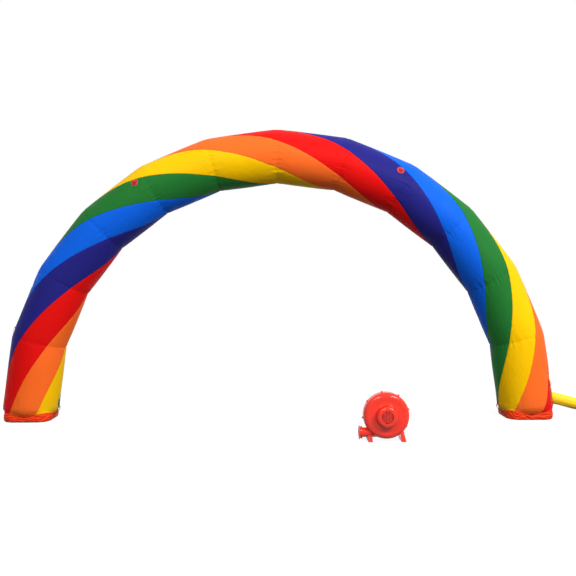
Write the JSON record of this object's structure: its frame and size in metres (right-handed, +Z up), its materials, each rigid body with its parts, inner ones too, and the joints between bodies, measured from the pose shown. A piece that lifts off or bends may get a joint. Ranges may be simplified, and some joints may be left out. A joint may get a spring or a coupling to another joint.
{
  "type": "inflatable rainbow arch",
  "caption": "Free-standing inflatable walk-through arch of spiral coloured fabric tubes, with gathered feet, an inflation sleeve and a separate centrifugal blower.",
  "frame": {"origin": "middle of the left sole's underside, on the floor", "axes": "+X across the arch from the left foot to the right foot, +Y from the front to the back, +Z up"},
  "size_m": [7.0054, 1.6618, 3.204],
  "materials": {
    "orange_fabric": "coated woven nylon, satin",
    "red_fabric": "coated woven nylon, satin",
    "indigo_fabric": "coated woven nylon, satin",
    "blue_fabric": "coated woven nylon, satin",
    "green_fabric": "coated woven nylon, satin",
    "yellow_fabric": "coated woven nylon, satin",
    "band_fabric": "coated woven nylon, gathered",
    "patch_fabric": "coated fabric, sewn double",
    "sleeve_fabric": "coated woven nylon, satin",
    "yellow_webbing": "woven webbing",
    "red_webbing": "woven webbing",
    "black_webbing": "woven webbing",
    "zip_tape": "woven tape with moulded teeth",
    "sole_vinyl": "matt vinyl sheet",
    "ring_steel": "bright plated steel",
    "shell_plastic": "glossy moulded plastic",
    "dark_plastic": "fine grained moulded plastic",
    "switch_plastic": "smooth moulded plastic",
    "motor_paint": "grey enamel",
    "plain_steel": "zinc plated steel"
  },
  "bodies": {
    "arch": {"back_left_tether_patch": "patch_fabric", "back_left_tether_tab": "red_webbing", "back_right_tether_patch": "patch_fabric", "back_right_tether_tab": "red_webbing", "blue_stripe": "blue_fabric", "front_left_tether_patch": "patch_fabric", "front_left_tether_tab": "red_webbing", "front_right_tether_patch": "patch_fabric", "front_right_tether_tab": "red_webbing", "green_stripe": "green_fabric", "indigo_stripe": "indigo_fabric", "inflation_sleeve": "sleeve_fabric", "left_base_band": "band_fabric", "left_inner_anchor_loop": "black_webbing", "left_outer_anchor_loop": "black_webbing", "left_sole": "sole_vinyl", "orange_stripe": "orange_fabric", "red_stripe": "red_fabric", "right_back_anchor_loop": "black_webbing", "right_base_band": "band_fabric", "right_inner_anchor_loop": "black_webbing", "right_sole": "sole_vinyl", "sleeve_collar": "patch_fabric", "sleeve_hem": "sleeve_fabric", "sleeve_tie_strap": "yellow_webbing", "yellow_stripe": "yellow_fabric", "zip_back_tape": "zip_tape", "zip_front_tape": "zip_tape"},
    "front_left_ring": {"front_left_tether_ring": "ring_steel"},
    "back_left_ring": {"back_left_tether_ring": "ring_steel"},
    "front_right_ring": {"front_right_tether_ring": "ring_steel"},
    "back_right_ring": {"back_right_tether_ring": "ring_steel"},
    "zip_slider": {"zip_slider": "ring_steel"},
    "zip_pull": {"zip_pull": "red_webbing"},
    "blower": {"blower_left_foot": "shell_plastic", "blower_right_foot": "shell_plastic", "cable_gland": "dark_plastic", "front_housing": "shell_plastic", "inlet_guard": "dark_plastic", "motor_body": "motor_paint", "motor_plate": "plain_steel", "motor_screw_1": "plain_steel", "motor_screw_2": "plain_steel", "motor_screw_3": "plain_steel", "motor_screw_4": "plain_steel", "outlet_flange": "shell_plastic", "rear_housing": "shell_plastic", "rim_screw_1": "plain_steel", "rim_screw_2": "plain_steel", "rim_screw_3": "plain_steel", "rim_screw_4": "plain_steel", "rim_screw_5": "plain_steel", "rim_screw_6": "plain_steel", "switch_box": "dark_plastic", "vent_grille": "shell_plastic"},
    "impeller": {"impeller": "dark_plastic", "motor_shaft": "plain_steel", "impeller_nut": "plain_steel"},
    "rocker": {"rocker_switch": "switch_plastic"}
  },
  "joints": [
    {"name": "front_left_ring_swing", "type": "hinge", "parent": "arch", "child": "front_left_ring", "pos_m": [1.20476, -0.25989, 2.59703], "axis": [-0.9434, 0.3316, 0], "range_deg": [0, 165]},
    {"name": "back_left_ring_swing", "type": "hinge", "parent": "arch", "child": "back_left_ring", "pos_m": [1.20476, 0.25989, 2.59703], "axis": [0.9434, 0.3316, 0], "range_deg": [0, 165]},
    {"name": "front_right_ring_swing", "type": "hinge", "parent": "arch", "child": "front_right_ring", "pos_m": [4.09236, -0.25989, 2.71643], "axis": [-0.9765, -0.2157, 0], "range_deg": [0, 165]},
    {"name": "back_right_ring_swing", "type": "hinge", "parent": "arch", "child": "back_right_ring", "pos_m": [4.09236, 0.25989, 2.71643], "axis": [0.9765, -0.2157, 0], "range_deg": [0, 165]},
    {"name": "zip_slide", "type": "slide", "parent": "arch", "child": "zip_slider", "axis": [0.3827, 0, 0.9239], "range_m": [0, 0.46]},
    {"name": "zip_pull_swing", "type": "hinge", "parent": "zip_slider", "child": "zip_pull", "pos_m": [-0.15786, -0.07838, 1.02518], "axis": [-0.2391, 0.9659, 0.099], "range_deg": [0, 165]},
    {"name": "blower_lift", "type": "slide", "parent": "arch", "child": "blower", "axis": [0, 0, 1], "range_m": [0, 0.5]},
    {"name": "impeller_spin", "type": "hinge", "parent": "blower", "child": "impeller", "pos_m": [3.78197, -1.2, 0.24], "axis": [0, 1, 0], "continuous": true},
    {"name": "rocker_tip", "type": "hinge", "parent": "blower", "child": "rocker", "pos_m": [3.87389, -1.0957, 0.34954], "axis": [-0.766, 0, 0.6428], "range_deg": [0, 18]}
  ]
}
